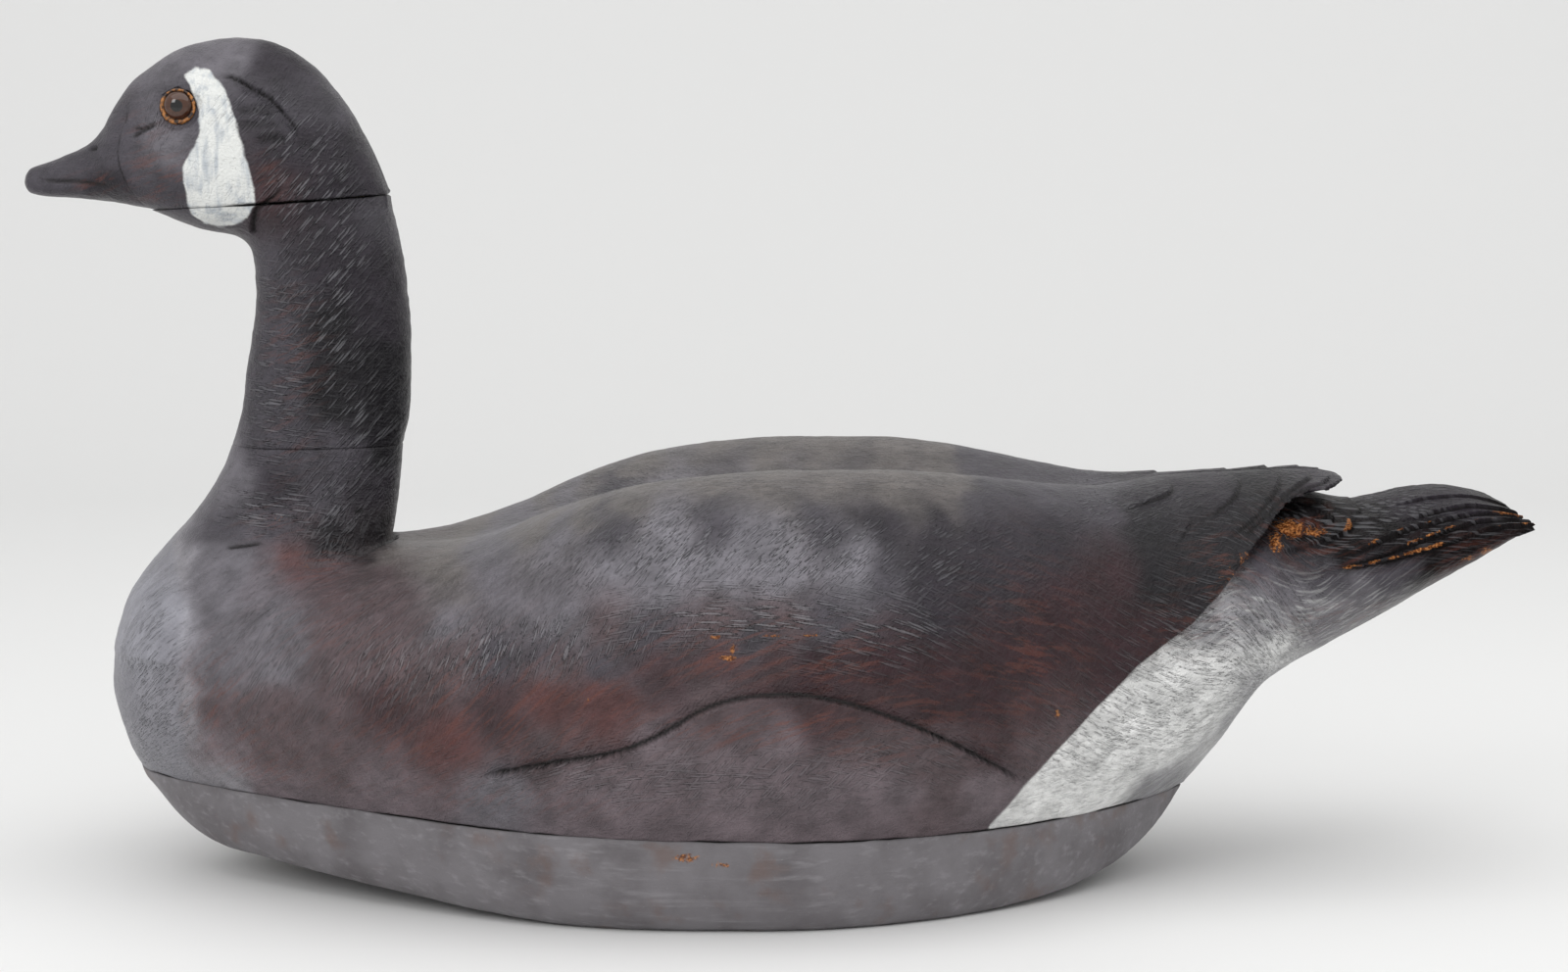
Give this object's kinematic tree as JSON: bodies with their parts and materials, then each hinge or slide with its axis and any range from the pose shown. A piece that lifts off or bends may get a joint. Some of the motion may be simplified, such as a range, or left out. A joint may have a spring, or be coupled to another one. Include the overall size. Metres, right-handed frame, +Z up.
{
  "type": "floating goose decoy",
  "caption": "Carved wooden goose, hollow body on a bottom board with a joined neck and head, glass eyes, ballast and a line ring.",
  "frame": {"origin": "centre of the bounding box at the height of the resting plane", "axes": "+X towards the tail, the bill points to -X; the goose's left side faces -Y; +Z up"},
  "size_m": [0.648, 0.3, 0.365],
  "materials": {
    "head_paint": "worn black-brown oil paint over carved wood",
    "body_paint": "worn grey-brown oil paint over carved wood, reddish where it is thin",
    "bottom_paint": "plain grey paint, scuffed",
    "eye_glass": "clear domed glass",
    "iris_enamel": "dark brown enamel behind the glass",
    "pupil_enamel": "black enamel behind the glass",
    "eye_putty": "amber bedding compound around the eye",
    "bare_wood": "unpainted hardwood",
    "steel": "plain steel",
    "screw_brass": "dull brass",
    "ballast_metal": "dull grey cast lead",
    "line_metal": "weathered galvanised wire"
  },
  "bodies": {
    "decoy": {"head_block": "head_paint", "neck_block": "head_paint", "body_shell": "body_paint", "bottom_board": "bottom_paint", "eye_glass_left": "eye_glass", "eye_glass_right": "eye_glass", "eye_iris_left": "iris_enamel", "eye_iris_right": "iris_enamel", "eye_pupil_left": "pupil_enamel", "eye_pupil_right": "pupil_enamel", "eye_putty_left": "eye_putty", "eye_putty_right": "eye_putty", "head_dowels": "bare_wood", "neck_dowels": "bare_wood", "neck_lag_screw": "steel", "neck_washer": "steel", "locating_pins": "bare_wood", "bottom_screws": "screw_brass", "bottom_screw_plugs": "bottom_paint", "ballast_weight": "ballast_metal", "ballast_screws": "screw_brass", "line_staple": "line_metal"},
    "ring": {"line_ring": "line_metal"}
  },
  "joints": [
    {"name": "ring_swing", "type": "hinge", "parent": "decoy", "child": "ring", "pos_m": [-0.215, 0, 0.00815], "axis": [0, 1, 0], "range_deg": [-9, 170]}
  ]
}
